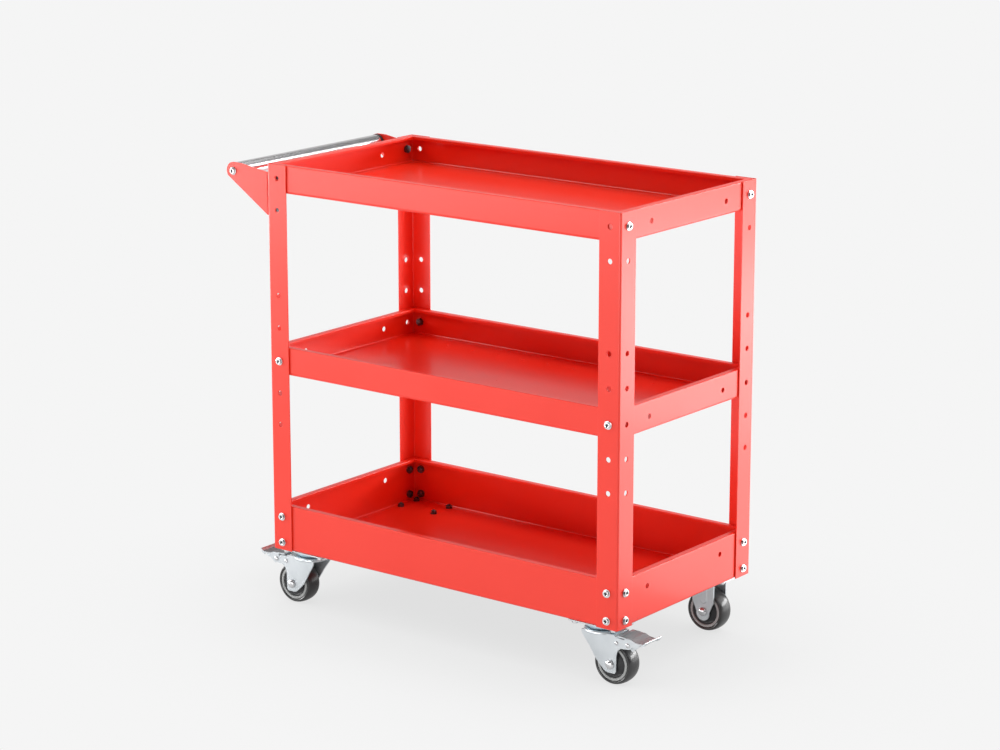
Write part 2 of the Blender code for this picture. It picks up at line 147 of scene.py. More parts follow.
def arc(cx, cy, r, first, last, steps):
    """Points on an arc, in degrees."""
    turns = [math.radians(first + (last - first) * i / steps) for i in range(steps + 1)]
    return [(cx + r * math.cos(a), cy + r * math.sin(a)) for a in turns]


def plank(outline, depth, start=0.0, axis="Y"):
    """A flat outline pushed out along one axis; its numbers are the other two axes."""
    bm = bmesh.new()
    order = {"X": lambda a, b: (start, a, b), "Y": lambda a, b: (a, start, b),
             "Z": lambda a, b: (a, b, start)}[axis]
    face = bm.faces.new([bm.verts.new(order(a, b)) for a, b in outline])
    made = bmesh.ops.extrude_face_region(bm, geom=[face])
    moved = [g for g in made["geom"] if isinstance(g, bmesh.types.BMVert)]
    bmesh.ops.translate(bm, verts=moved, vec=Vector([depth * (a == axis) for a in "XYZ"]))
    return bm


def drills(places, radius, length, axis, sides=32):
    """Round punches of one size, each centred on its place."""
    bm = bmesh.new()
    lean = {"X": Matrix.Rotation(math.pi / 2, 4, "Y"),
            "Y": Matrix.Rotation(math.pi / 2, 4, "X"), "Z": Matrix.Identity(4)}[axis]
    for spot in places:
        bmesh.ops.create_cone(bm, cap_ends=True, segments=sides, radius1=radius,
                              radius2=radius, depth=length,
                              matrix=Matrix.Translation(spot) @ lean)
    return bm


def mesh_of(bm, name):
    """Closes a bmesh's seams, points its faces outwards and makes it a mesh."""
    bmesh.ops.remove_doubles(bm, verts=bm.verts, dist=0.0005)
    bmesh.ops.recalc_face_normals(bm, faces=bm.faces)
    me = bpy.data.meshes.new(name)
    bm.to_mesh(me)
    bm.free()
    return me


SHARP_AFTER_BREAK = 52.0


def formed(name, bm, cuts=(), joins=(), edge=0.3, limit=34.0):
    """bm, in millimetres, with shapes joined on or cut away and its sharp edges broken."""
    ob = bpy.data.objects.new(name, mesh_of(bm, name))
    tools = []
    for way, shapes in (("UNION", joins), ("DIFFERENCE", cuts)):
        for shape in shapes:
            tool = bpy.data.objects.new(name + "_tool", mesh_of(shape, name + "_tool"))
            tools.append(tool)
            cut = ob.modifiers.new(way.title(), "BOOLEAN")
            cut.operation, cut.object, cut.solver = way, tool, "EXACT"
    for o in [ob] + tools:
        bpy.context.scene.collection.objects.link(o)
    if edge:
        broken = ob.modifiers.new("Edges", "BEVEL")
        broken.width, broken.segments = edge, 2
        broken.limit_method, broken.angle_limit = "ANGLE", math.radians(limit)
    bpy.context.view_layer.update()
    graph = bpy.context.evaluated_depsgraph_get()
    me = bpy.data.meshes.new_from_object(ob.evaluated_get(graph))
    me.shade_smooth()
    me.set_sharp_from_angle(angle=math.radians(SHARP_AFTER_BREAK if edge else limit))
    for o in [ob] + tools:
        bpy.data.objects.remove(o, do_unlink=True)
    even = bpy.data.objects.new(name, me)
    bpy.context.scene.collection.objects.link(even)
    even.modifiers.new("Normals", "WEIGHTED_NORMAL").keep_sharp = True
    bpy.context.view_layer.update()
    graph = bpy.context.evaluated_depsgraph_get()
    done = bpy.data.meshes.new_from_object(even.evaluated_get(graph))
    bpy.data.objects.remove(even, do_unlink=True)
    done.name = name
    return done


def fit(name, mesh, where, coat, slot, body, *nodes):
    """Puts a copy of a formed mesh in its place as a piece that rides on a body.

    coat is one finish, or a tuple of them for a mesh whose faces are numbered by finish.
    """
    me = mesh.copy()
    me.transform(where)
    for finish in coat if isinstance(coat, tuple) else (coat,):
        me.materials.append(finish)
    ob = bpy.data.objects.new(name, me)
    bpy.context.scene.collection.objects.link(ob)
    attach(ob, body)
    if nodes:
        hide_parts(*nodes)
    return ob


angle = ([(FLANGE, 0), (FLANGE, SHEET)] + arc(HEEL_R, HEEL_R, HEEL_INNER_R, 270, 180, 5)
         + [(SHEET, FLANGE), (0, FLANGE)] + arc(HEEL_R, HEEL_R, HEEL_R, 180, 270, 8))
punches = [drills([(HOLE_LINE, 1, z) for z in HOLE_HEIGHTS], HOLE_R, PUNCH, "Y"),
           drills([(1, HOLE_LINE, z) for z in HOLE_HEIGHTS], HOLE_R, PUNCH, "X")]
post = formed("post", plank(angle, TALL, 0.0, "Z"), cuts=punches, edge=0.35)
for name, x, y, turn in (("front_left", 0, 0, 0), ("front_right", LONG, 0, 90),
                         ("back_right", LONG, WIDE, 180), ("back_left", 0, WIDE, 270)):
    fit(f"angle_post_{name}", post, seat(x, y, 0, turn), red, "red_paint", "cart",
        f"post_{name}")

# ---- trays -----------------------------------------------------------------------------
# Each is one 1.2 mm sheet: walls folded up on an easy radius, rim turned in and its lip
# turned down, corners welded and ground. The deep one is at the bottom.
TRAY_IN, WALL, BEND, RIM, LIP = 2.7, 1.2, 5.0, 12.0, 6.0
RIM_R, RIM_INNER_R = 1.6, 0.4
SIX_STEPS = [math.radians(15 * i) for i in range(7)]


def ring(inset, z, r=4.0):
    """A rounded rectangle inside the tray's outer wall, about the cart's middle."""
    hx, hy = LONG / 2 - TRAY_IN - inset, WIDE / 2 - TRAY_IN - inset
    r = max(r - inset, 0.5)
    points = []
    for sx, sy, first in ((1, 1, 0), (-1, 1, 90), (-1, -1, 180), (1, -1, 270)):
        points += arc(sx * (hx - r), sy * (hy - r), r, first, first + 90, 7)
    return [(x, y, z) for x, y in points]


def tray(name, low, high, floor_holes, end_holes, side_holes):
    """Pulls the underside's edge up and round through every bend to the floor's top."""
    inner = BEND - WALL
    path = [(BEND - BEND * math.sin(a), BEND - BEND * math.cos(a)) for a in SIX_STEPS]
    path += arc(RIM_R, high - RIM_R, RIM_R, 180, 90, 5)
    path += arc(RIM - RIM_R, high - RIM_R, RIM_R, 90, 0, 5)
    path += [(RIM, high - LIP), (RIM - WALL, high - LIP)]
    path += arc(RIM - RIM_R, high - RIM_R, RIM_INNER_R, 0, 90, 3)
    path += arc(RIM_R, high - RIM_R, RIM_INNER_R, 90, 180, 3)
    path += [(BEND - inner * math.cos(a), BEND - inner * math.sin(a)) for a in SIX_STEPS]
    bm = bmesh.new()
    verts = [bm.verts.new(p) for p in ring(*path[0])]
    edges = [bm.edges.new(pair) for pair in zip(verts, verts[1:] + verts[:1])]
    bmesh.ops.edgeloop_fill(bm, edges=edges)
    for here, there in zip(path, path[1:]):
        goal = {tuple(round(c, 3) for c in a): b for a, b in zip(ring(*here), ring(*there))}
        made = bmesh.ops.extrude_edge_only(bm, edges=edges)["geom"]
        fresh = {v for v in made if isinstance(v, bmesh.types.BMVert)}
        for v in fresh:
            v.co = goal[tuple(round(c, 3) for c in v.co)]
        edges = [e for e in made
                 if isinstance(e, bmesh.types.BMEdge) and set(e.verts) <= fresh]
    bmesh.ops.edgeloop_fill(bm, edges=edges)
    hx, hy = LONG / 2, WIDE / 2
    cuts = [drills([(s * (hx - 3), y - hy, z - low) for s in (-1, 1) for y, z in end_holes],
                   HOLE_R, PUNCH, "X"),
            drills([(x - hx, s * (hy - 3), z - low) for s in (-1, 1) for x, z in side_holes],
                   HOLE_R, PUNCH, "Y")]
    for x, y, r in floor_holes:
        cuts.append(drills([(x - hx, y - hy, 1)], r, PUNCH, "Z", 20))
    sheet = formed(name, bm, cuts=cuts, edge=0.25, limit=40)
    fit(f"pressed_{name}", sheet, seat(hx, hy, low), red, "red_paint", "cart", name)


near, far = HOLE_LINE, WIDE - HOLE_LINE
left, right = HOLE_LINE, LONG - HOLE_LINE
END_NEAR, END_FAR = 88.5, WIDE - 88.5
SHALLOW, DEEP = 49.3, 82.0
KING = (56.0, 37.4)
STUDS = ((-39.0, -22.5), (39.0, -22.5), (39.0, 22.5), (-39.0, 22.5))
# Small holes along the back of the middle tray's floor, three pips in it, and the caster
# bolts' holes in the bottom tray's.
BACK_ROW, HOOK_R, PIP_R, STUD_R = 342.0, 2.2, 1.0, 3.7
hooks = [(123.0 + 56.4 * i, BACK_ROW, HOOK_R) for i in range(10)]
pips = [(370.0, BACK_ROW, PIP_R), (386.0, BACK_ROW, PIP_R), (349.5, 192.5, PIP_R)]
studs = [(kx + dx, ky + dy, STUD_R) for kx in (KING[0], LONG - KING[0])
         for ky in (KING[1], WIDE - KING[1]) for dx, dy in STUDS]
tray("tray_top", 640.5, SHALLOW, [],
     [(near, TOP_ROW), (far, TOP_ROW), (END_NEAR, 664), (END_FAR, 664)],
     [(left, TOP_ROW), (right, TOP_ROW)])
tray("tray_middle", 319.5, SHALLOW, hooks + pips,
     [(near, MIDDLE_ROW), (far, MIDDLE_ROW), (END_NEAR, 342.5), (END_FAR, 342.5)],
     [(left, MIDDLE_ROW), (right, MIDDLE_ROW)])
tray("tray_bottom", 0.0, DEEP, studs,
     [(near, UPPER_ROW), (far, UPPER_ROW), (near, LOWER_ROW), (far, LOWER_ROW),
      (END_NEAR, 55), (END_FAR, 55)],
     [(left, UPPER_ROW), (right, UPPER_ROW), (left, LOWER_ROW), (right, LOWER_ROW)])

# ---- tray and bracket bolts -------------------------------------------------------------
# M8 button heads with a hex socket outside, and a hex nut inside with the thread's end
# just through it. The heads are bright zinc plate and the nuts dark; the sockets are
# painted dark as well, painted shade in their recess.
SOCKET_FLATS, NUT_FLATS, NUT_ROUND, NUT_CHAMFER = 5.0, 13.0, 7.35, 6.9
FAR_END, SOCKET_FLOOR, UNDER_SHEET = 99.0, 1.5, -2.0
bright, tree, skin, place = finish_coat("bright_zinc_bolts", (0.74, 0.74, 0.75), 0.26, 1.0)
add_grain(tree, skin, place, 2200.0, 60.0, 0.00001,
          ((0.68, 0.68, 0.70), (0.80, 0.80, 0.80)), (0.20, 0.32))
# Dark nuts, and the painted shade inside each hex socket.
dark, tree, skin, place = finish_coat("dark_nuts_and_painted_socket_shade", (0.10, 0.105, 0.115), 0.3, 0.75)
add_grain(tree, skin, place, 1800.0, 80.0, 0.00002,
          ((0.05, 0.055, 0.06), (0.20, 0.21, 0.23)), (0.20, 0.42))


def turned(profile, steps, axis="Z", closed=False):
    """Spins (radius, height) points about an axis through the origin."""
    bm = bmesh.new()
    verts = [bm.verts.new((r, 0, h)) for r, h in profile]
    edges = [bm.edges.new(pair) for pair in zip(verts, verts[1:])]
    if closed:
        edges.append(bm.edges.new((verts[-1], verts[0])))
    bmesh.ops.spin(bm, geom=verts + edges, cent=(0, 0, 0), axis=(0, 0, 1), dvec=(0, 0, 0),
                   angle=math.tau, steps=steps, use_merge=True)
    bmesh.ops.remove_doubles(bm, verts=bm.verts, dist=0.001)
    if axis == "Y":
        bmesh.ops.rotate(bm, verts=bm.verts, matrix=Matrix.Rotation(math.pi / 2, 3, "X"))
    return bm


def six_sided(bm, low, high, flats, most=FAR_END, least=0.0):
    """Draws the rings between two heights in to a hexagon, cut off round at most."""
    for v in bm.verts:
        r = math.hypot(v.co.x, v.co.y)
        if low - 0.01 < v.co.z < high + 0.01 and least < r:
            turn = (math.degrees(math.atan2(v.co.y, v.co.x)) + 30) % 60 - 30
            want = min(flats / 2 / math.cos(math.radians(turn)), most)
            v.co.x *= want / r
            v.co.y *= want / r


def two_tone(mesh, low, high, socket=-FAR_END):
    """Gives a bolt's nut end, between two heights, the dark second finish, and its socket the
    same as painted shade.
    """
    reach, depth = 2.8, 2.6
    for face in mesh.polygons:
        x, y, z = face.center
        # Faces deep in the hex socket: painted shade.
        painted_socket_shade = math.hypot(x, y) < reach and socket < z < socket + depth
        face.material_index = int(low < z < high or painted_socket_shade)
    return mesh


def button_bolt(name, grip):
    """The head stands on z = 0.2, and the nut starts at z = -grip."""
    g = -grip
    dome = [(7.0 - 2.0 * (1 - math.cos(a)), 1.3 + 3.1 * math.sin(a))
            for a in [math.radians(15 * i) for i in range(6)]]
    profile = [(0.0, 1.6), (2.6, 2.0), (2.6, 4.1), (3.3, 4.55), (4.4, 4.55)] + dome[::-1]
    profile += [(7.0, 0.5), (6.7, 0.2), (4.0, 0.2), (4.0, g), (6.6, g), (7.3, g - 0.6),
                (7.3, g - 4.4), (6.6, g - 5.0), (4.4, g - 5.0), (3.9, g - 4.6)]
    for i in range(3):
        profile += [(4.0, g - 4.9 - i * 0.5), (3.6, g - 5.15 - i * 0.5)]
    profile += [(3.4, g - 6.5), (0.0, g - 6.5)]
    bm = turned(profile, 48)
    six_sided(bm, 1.9, 4.2, SOCKET_FLATS, least=2.0)
    six_sided(bm, g - 4.5, g - 0.5, NUT_FLATS, NUT_ROUND, 5.0)
    six_sided(bm, g - 5.1, g - 4.9, NUT_FLATS, NUT_CHAMFER, 5.0)
    return two_tone(formed(name, bm, edge=0.0, limit=38), -FAR_END, UNDER_SHEET, SOCKET_FLOOR)


OUTWARD = {
    "front": lambda a, z, out=0: seat(a, -out, z, 90, "X"),
    "back": lambda a, z, out=0: seat(a, WIDE + out, z, -90, "X"),
    "left": lambda a, z, out=0: seat(-out, a, z, -90, "Y"),
    "right": lambda a, z, out=0: seat(LONG + out, a, z, 90, "Y"),
}
BRACKET_OUT = 2.3
plain_bolt = button_bolt("plain_bolt", 4.1)
long_bolt = button_bolt("long_bolt", 6.4)
short_bolt = button_bolt("short_bolt", 4.5)
placed = []
for z, tag in ((UPPER_ROW, "upper"), (LOWER_ROW, "lower")):
    for face, a in (("front", left), ("front", right), ("back", left), ("back", right)):
        side = "left" if a == left else "right"
        placed.append((f"bottom_{face}_{side}_long_{tag}", plain_bolt, face, a, z, 0))
    for face, a in (("left", near), ("left", far), ("right", near), ("right", far)):
        side = "front" if a == near else "back"
        placed.append((f"bottom_{side}_{face}_end_{tag}", plain_bolt, face, a, z, 0))
for face, a in (("front", left), ("front", right), ("back", left), ("back", right)):
    side = "left" if a == left else "right"
    placed.append((f"middle_{face}_{side}", plain_bolt, face, a, MIDDLE_ROW, 0))
for side, a in (("front", near), ("back", far)):
    placed.append((f"top_{side}_right", plain_bolt, "right", a, TOP_ROW, 0))
    placed.append((f"top_{side}_left", long_bolt, "left", a, TOP_ROW, BRACKET_OUT))
    placed.append((f"bracket_{side}", short_bolt, "left", a, HAND_ROW, BRACKET_OUT))
for i, (name, bolt, face, a, z, out) in enumerate(placed):
    spun = OUTWARD[face](a, z, out) @ Matrix.Rotation(math.radians(17 + 43 * i), 4, "Z")
    fit(f"button_bolt_{name}", bolt, spun, (bright, dark), "bolt_steel", "cart",
        f"bolt_{name}")

# ---- handle brackets --------------------------------------------------------------------
# A pair of hands in 2 mm sheet: the flange is bolted to the post with the tray, and the
# web runs out to a round nose that carries the tube. Painted with the cart.
TUBE_X, TUBE_Z, NOSE_R, HAND_HOLE_R = -79.5, 668.5, 15.5, 4.5
BEND_AT, BEND_R = 2.7, 2.4
offcut = ([(1.0, 675.0), (-2.3, 675.0), (-8.0, 675.8), (-33.0, 679.5), (-62.0, 684.0)]
          + arc(TUBE_X, TUBE_Z, NOSE_R, 90, 215, 20)
          + [(1.0, 598.5), (1.0, 580.0), (-120.0, 580.0), (-120.0, 705.0), (1.0, 705.0)])


def bracket(name, side):
    """Bends a blank, then shears its offcut away; side is 1 in front or -1 at the back."""
    bend = ([(-100, 0.3), (-100, 2.3), (-2.8, 2.3), (-2.3, 2.8), (-2.3, 40.0), (-0.3, 40.0)]
            + arc(-BEND_AT, BEND_AT, BEND_R, 0, -90, 7))
    blank = plank([(x, y * side) for x, y in bend], 100.0, 592.0, "Z")
    cuts = [plank(offcut, 100.0, -50.0, "Y"),
            drills([(-1.0, side * near, z) for z in (TOP_ROW, HAND_ROW)], HAND_HOLE_R,
                   PUNCH, "X"),
            drills([(TUBE_X, side, TUBE_Z)], HAND_HOLE_R, PUNCH, "Y")]
    return formed(name, blank, cuts=cuts, edge=0.0, limit=20)


fit("handle_hand_front", bracket("hand_front", 1), seat(0, 0, 0), red, "red_paint", "cart",
    "handle_bracket_front")
fit("handle_hand_back", bracket("hand_back", -1), seat(0, WIDE, 0), red, "red_paint", "cart",
    "handle_bracket_back")

# ---- handle tube ------------------------------------------------------------------------
# 28 mm steel tube, polished and chrome plated, faintly brushed round from polishing. A
# black plastic plug with a collar closes each end and takes the bolt.
chrome, tree, skin, place = finish_coat("polished_chrome", (0.86, 0.85, 0.86), 0.26, 1.0)
stretch = wire(tree, "ShaderNodeMapping", {"Vector": place, "Scale": (30.0, 900.0, 30.0)})
rings = wire(tree, "ShaderNodeTexNoise", {"Vector": stretch.outputs["Vector"], "Scale": 1.0,
                                          "Detail": 3.0})
polish = wire(tree, "ShaderNodeMapRange", {"Value": rings.outputs["Fac"], "To Min": 0.19,
                                           "To Max": 0.24})
tree.links.new(polish.outputs["Result"], skin.inputs["Roughness"])
bump = wire(tree, "ShaderNodeBump", {"Height": rings.outputs["Fac"], "Strength": 0.04,
                                     "Distance": 0.00001})
tree.links.new(bump.outputs["Normal"], skin.inputs["Normal"])
BORE_R, MOUTH_R, TUBE_R, END_GAP = 12.5, 13.2, 14.0, 2.6
half = WIDE / 2 - END_GAP
wall = [(BORE_R, half), (MOUTH_R, half), (TUBE_R, half - 0.8), (TUBE_R, 0.0),
        (TUBE_R, 0.8 - half), (MOUTH_R, -half), (BORE_R, -half), (BORE_R, 0.0)]
tube = formed("tube", turned(wall, 96, "Y", closed=True), edge=0.0)
fit("handle_grip_tube", tube, seat(TUBE_X, WIDE / 2, TUBE_Z), chrome, "chrome", "cart",
    "handle_tube")

black, tree, skin, place = finish_coat("black_moulded_plastic", (0.02, 0.02, 0.022), 0.4)
add_grain(tree, skin, place, 1500.0, 30.0, 0.00003,
          ((0.016, 0.016, 0.018), (0.03, 0.03, 0.032)), (0.34, 0.48))
plug = [(4.4, 0.0), (14.3, 0.0), (14.7, 0.4), (14.7, 5.2), (14.3, 5.6), (14.05, 5.6),
        (14.05, 0.9), (12.4, 0.9), (12.4, 14.0), (11.4, 15.0), (4.4, 15.0)]
collar = formed("collar", turned(plug, 64, "Z", closed=True), edge=0.0)
PLUG_IN, HEAD_IN = 2.35, 0.3
for side, y, turn in (("front", PLUG_IN, -90), ("back", WIDE - PLUG_IN, 90)):
    fit(f"handle_plug_{side}", collar, seat(TUBE_X, y, TUBE_Z, turn, "X"), black,
        "black_tyre", "cart")

tip = [(0.0, 1.6), (2.6, 2.0), (2.6, 4.1), (3.3, 4.55), (4.4, 4.55), (5.8, 3.8), (6.7, 2.4),
       (7.0, 1.3), (7.0, 0.5), (6.7, 0.2), (4.0, 0.2), (4.0, -19.0), (3.2, -20.0),
       (0.0, -20.0)]
bm = turned(tip, 48)
six_sided(bm, 1.9, 4.2, SOCKET_FLATS, least=2.0)
handle_bolt = two_tone(formed("handle_bolt", bm, edge=0.0, limit=38), -FAR_END, UNDER_SHEET,
                       SOCKET_FLOOR)
for side, y, turn in (("front", HEAD_IN, 90), ("back", WIDE - HEAD_IN, -90)):
    fit(f"handle_button_bolt_{side}", handle_bolt, seat(TUBE_X, y, TUBE_Z, turn, "X"),
        (bright, dark), "bolt_steel", "cart", f"handle_bolt_{side}")

# ---- swivel caster tops -----------------------------------------------------------------
# A pressed top plate with four bolt holes, and under it the upper ball cup and the king
# pin that the fork turns on. Zinc plated, with the faint blue of its passivation.
zinc, tree, skin, place = finish_coat("blue_white_zinc", (0.68, 0.71, 0.74), 0.36, 0.9)
add_grain(tree, skin, place, 1300.0, 22.0, 0.000008,
          ((0.62, 0.66, 0.69), (0.74, 0.77, 0.79)), (0.32, 0.44))
cup_zinc, tree, skin, place = finish_coat("blue_zinc_cup", (0.40, 0.58, 0.68), 0.22, 1.0)
add_grain(tree, skin, place, 1300.0, 40.0, 0.00003,
          ((0.34, 0.54, 0.68), (0.62, 0.76, 0.82)), (0.18, 0.30))
PLATE_X, PLATE_Y, PLATE_R, PLATE_TOP, PLATE_THICK, BOLT_HOLE_R = 48, 32, 5, -0.3, 2.5, 3.6


def caster_plate():
    """The flat top plate that both kinds of caster have, under the tray's floor."""
    hx, hy = PLATE_X - PLATE_R, PLATE_Y - PLATE_R
    points = []
    for sx, sy, first in ((1, 1, 0), (-1, 1, 90), (-1, -1, 180), (1, -1, 270)):
        points += arc(sx * hx, sy * hy, PLATE_R, first, first + 90, 6)
    return plank(points, -PLATE_THICK, PLATE_TOP, "Z")


def plate_holes():
    return drills([(x, y, -1.5) for x, y in STUDS], BOLT_HOLE_R, PUNCH, "Z")


cup = [(0.0, -1.5), (26.0, -1.5), (27.4, -2.9), (28.0, -4.2), (27.9, -6.2), (27.2, -8.0),
       (25.6, -9.6), (23.4, -10.3), (5.0, -10.3)]
pin = [(0.0, -9.0), (5.0, -9.0), (5.0, -17.0), (8.0, -17.0), (8.4, -17.6), (8.0, -19.2),
       (6.4, -20.2), (0.0, -20.4)]
swivel_top = formed("swivel_top", caster_plate(), cuts=[plate_holes()], edge=0.5)
ball_cup = formed("ball_cup", turned(cup + [(0.0, -10.3)], 72), edge=0.3)
king_pin = formed("king_pin", turned(pin, 40), edge=0.0)

# The four bolts of each caster: a bright hex head under the plate, and a dark nut
# and thread end on the tray's floor.
CASTER_FLATS, CASTER_ROUND, TRAY_FLOOR = 10.0, 5.65, 1.35
shank = [(0.0, -7.6), (4.6, -7.6), (5.6, -7.0), (5.9, -6.6), (5.9, -2.9), (3.1, -2.9),
         (3.1, 1.3), (5.2, 1.3), (6.3, 1.5), (6.3, 2.0), (5.2, 2.2), (5.9, 2.5), (5.9, 6.2),
         (5.2, 6.7), (3.3, 6.7), (3.1, 6.5), (2.9, 7.0), (3.1, 7.3), (2.8, 7.7), (3.0, 8.1),
         (2.6, 8.7), (0.0, 8.8)]
bm = turned(shank, 36)
six_sided(bm, -7.1, -2.8, CASTER_FLATS, CASTER_ROUND, 4.0)
six_sided(bm, 2.4, 6.3, CASTER_FLATS, CASTER_ROUND, 4.0)
six_sided(bm, 6.6, 6.8, CASTER_FLATS, 5.3, 4.0)
caster_bolt = two_tone(formed("caster_bolt", bm, edge=0.0, limit=38), TRAY_FLOOR, FAR_END)
CASTERS = {
    "front_left": (KING[0], KING[1], 180), "front_right": (LONG - KING[0], KING[1], 0),
    "back_left": (KING[0], WIDE - KING[1], 180),
    "back_right": (LONG - KING[0], WIDE - KING[1], 0),
}
for tag, (x, y, turn) in CASTERS.items():
    where = seat(x, y, 0, turn)
    for i, (dx, dy) in enumerate(STUDS):
        spun = Matrix.Translation((dx, dy, 0)) @ Matrix.Rotation(math.radians(37 * i), 4, "Z")
        fit(f"caster_bolt_{tag}_{i + 1}", caster_bolt, where @ spun, (bright, dark),
            "bolt_steel", "cart")
    if tag.startswith("front"):
        fit(f"caster_top_{tag}", swivel_top, where, zinc, "zinc", "cart",
            f"caster_plate_{tag}")
        fit(f"caster_ball_cup_{tag}", ball_cup, where, cup_zinc, "zinc", "cart")
        fit(f"caster_king_pin_{tag}", king_pin, where, bright, "bolt_steel", "cart")

# ---- swivel forks -----------------------------------------------------------------------
# One pressing: a round crown over the balls and two legs folded down from it. Behind a
# crease the legs are flat for the wheel; ahead of it they spread to meet the crown.
CREASE, AXLE_Z, TRAIL = 17.0, -66.0, 30.5
LEG_IN, LEG_THICK, AXLE_HOLE_R = 17.6, 2.6, 4.3
STOP_AT, PIVOT_AT = Vector((43.0, 0.0, -26.5)), Vector((66.0, 0.0, -26.0))
leg = ([(-24.6, -14.4), (38.0, -14.4), (42.0, -17.4), (64.0, -18.6)]
       + arc(66.0, -26.0, 7.2, 75, -90, 14)
       + [(52.0, -34.6), (48.2, -36.6), (45.4, -39.6), (43.6, -44.0), (42.6, -50.0),
          (42.0, -73.0)] + arc(37.0, -75.5, 5.0, 0, -90, 5)[1:]
       + [(26.0, -80.5), (21.0, -79.4), (17.0, -76.6), (10.0, -70.0), (2.0, -61.5),
          (-2.0, -55.0), (-6.2, -48.2), (-10.0, -41.5), (-14.4, -35.0), (-19.4, -28.0),
          (-23.0, -22.4), (-24.4, -18.4)])


def spread(x, z):
    """How far a leg stands out from flat at this place ahead of the crease."""
    ahead = CREASE - x
    ahead = 0.0 if ahead < -1.5 else (ahead + 1.5) ** 2 / 6 if ahead < 1.5 else ahead
    return 0.11 * ahead * min(1.0, max(0.0, (z + 72.0) / 52.0))


def swivel_leg(side):
    """One leg, 1 for the front or -1 for the back, cut in strips and spread by its place."""
    bm = plank(leg, LEG_THICK, LEG_IN, "Y")
    bends = [CREASE - 1.5, CREASE - 0.5, CREASE + 0.5, CREASE + 1.5]
    for x in bends + list(range(-22, 15, 4)):
        bmesh.ops.bisect_plane(bm, geom=bm.verts[:] + bm.edges[:] + bm.faces[:],
                               plane_co=(x, 0, 0), plane_no=(1, 0, 0), dist=0.001)
    for z in range(-72, -16, 7):
        bmesh.ops.bisect_plane(bm, geom=bm.verts[:] + bm.edges[:] + bm.faces[:],
                               plane_co=(0, 0, z), plane_no=(0, 0, 1), dist=0.001)
    for v in bm.verts:
        v.co.y += spread(v.co.x, v.co.z)
    if side < 0:
        bmesh.ops.scale(bm, vec=(1, -1, 1), verts=bm.verts)
    return bm


crown = [(5.2, -11.6), (17.0, -11.6), (19.0, -11.0), (26.5, -11.0), (29.0, -11.6),
         (30.4, -13.2), (30.8, -15.4), (30.2, -17.0), (28.4, -17.0), (28.2, -15.0),
         (26.6, -13.8), (5.2, -13.8)]
roof = plank([(-23.0, -20.5), (37.5, -18.5), (37.5, 18.5), (-23.0, 20.5)], 2.2, -16.2, "Z")
THROUGH, PIVOT_HOLE_R, STOP_HOLE_R = 80, 3.1, 2.9
bores = [drills([(TRAIL, 0, AXLE_Z)], AXLE_HOLE_R, THROUGH, "Y"),
         drills([PIVOT_AT], PIVOT_HOLE_R, THROUGH, "Y"),
         drills([STOP_AT], STOP_HOLE_R, THROUGH, "Y"), drills([(0, 0, -14)], 5.1, 10, "Z", 40)]
swivel_fork = formed("swivel_fork", swivel_leg(1),
                     joins=[swivel_leg(-1), roof, turned(crown, 72, closed=True)],
                     cuts=bores, edge=0.5, limit=30)
for tag in ("front_left", "front_right"):
    x, y, turn = CASTERS[tag]
    fit(f"swivel_fork_{tag}", swivel_fork, seat(x, y, 0, turn), zinc, "zinc",
        f"swivel_{tag}", f"caster_fork_{tag}")

# Two rivets across the legs, headed over outside: the stop that the brake tongue bears
# on, and the pivot that the pedal turns on.
stop = [(0.0, -22.9), (1.6, -22.7), (3.0, -21.9), (3.6, -20.9), (3.6, -20.25), (2.8, -20.25),
        (2.8, 20.25), (3.6, 20.25), (3.6, 20.9), (3.0, 21.9), (1.6, 22.7), (0.0, 22.9)]
stop_rivet = formed("stop_rivet", turned(stop, 32, "Y"), edge=0.0)
pivot = [(0.0, -23.2), (2.0, -23.0), (3.6, -22.2), (4.4, -21.0), (4.4, -20.3), (3.0, -20.3),
         (3.0, 20.3), (4.4, 20.3), (4.4, 21.0), (3.6, 22.2), (2.0, 23.0), (0.0, 23.2)]
pivot_rivet = formed("pivot_rivet", turned(pivot, 32, "Y"), edge=0.0)
for tag in ("front_left", "front_right"):
    x, y, turn = CASTERS[tag]
    hinge = seat(x, y, 0, turn)
    fit(f"stop_rivet_{tag}", stop_rivet, hinge @ Matrix.Translation(STOP_AT), bright,
        "bolt_steel", f"swivel_{tag}")
    fit(f"pedal_rivet_{tag}", pivot_rivet, hinge @ Matrix.Translation(PIVOT_AT), bright,
        "bolt_steel", f"swivel_{tag}", f"brake_pivot_{tag}")

# ---- fixed forks ------------------------------------------------------------------------
# Plate and legs in one heavier pressing, stiffened by a rib embossed outwards down the
# middle of each leg. A slot leaning off the vertical in each foot takes the axle.
foot = ([(-24.0, -2.2), (24.0, -2.2), (22.2, -5.0), (21.4, -10.0), (21.0, -48.0)]
        + arc(0.0, -69.0, 13.2, 10, -190, 24)
        + [(-22.0, -48.0), (-22.0, -10.0), (-22.8, -5.0)])
RIB_X, RIB_R, RIB_Z = 1.0, 8.0, -38.0
SLOT, SLOT_END_R = ((0, 0, AXLE_Z), (2.6, 0, AXLE_Z + 3.2)), 4.4
rib = [(9.0, -6.0)] + arc(RIB_X, -44.0, RIB_R, 0, -180, 16) + [(-7.0, -6.0)]


def fixed_leg(side):
    bm = plank(foot, LEG_THICK, LEG_IN, "Y")
    if side < 0:
        bmesh.ops.scale(bm, vec=(1, -1, 1), verts=bm.verts)
    return bm


def rib_dies(side, out):
    """The raised rib: a slab that is joined on outside, or cut away inside."""
    shrink, start, raised, crest = (0.0, 20.0, 1.5, 21.0) if out else (1.6, 17.0, 2.0, 18.5)
    points = [(RIB_X + (x - RIB_X) * (1 - shrink / RIB_R), z + shrink * (z < -20))
              for x, z in rib]
    bm = plank(points, side * raised, side * start, "Y")
    for v in bm.verts:
        if abs(v.co.y) > crest:
            v.co.x = RIB_X + (v.co.x - RIB_X) * 0.74
            v.co.z = RIB_Z + (v.co.z - RIB_Z) * (0.85 if v.co.z > RIB_Z else 0.84)
    return bm


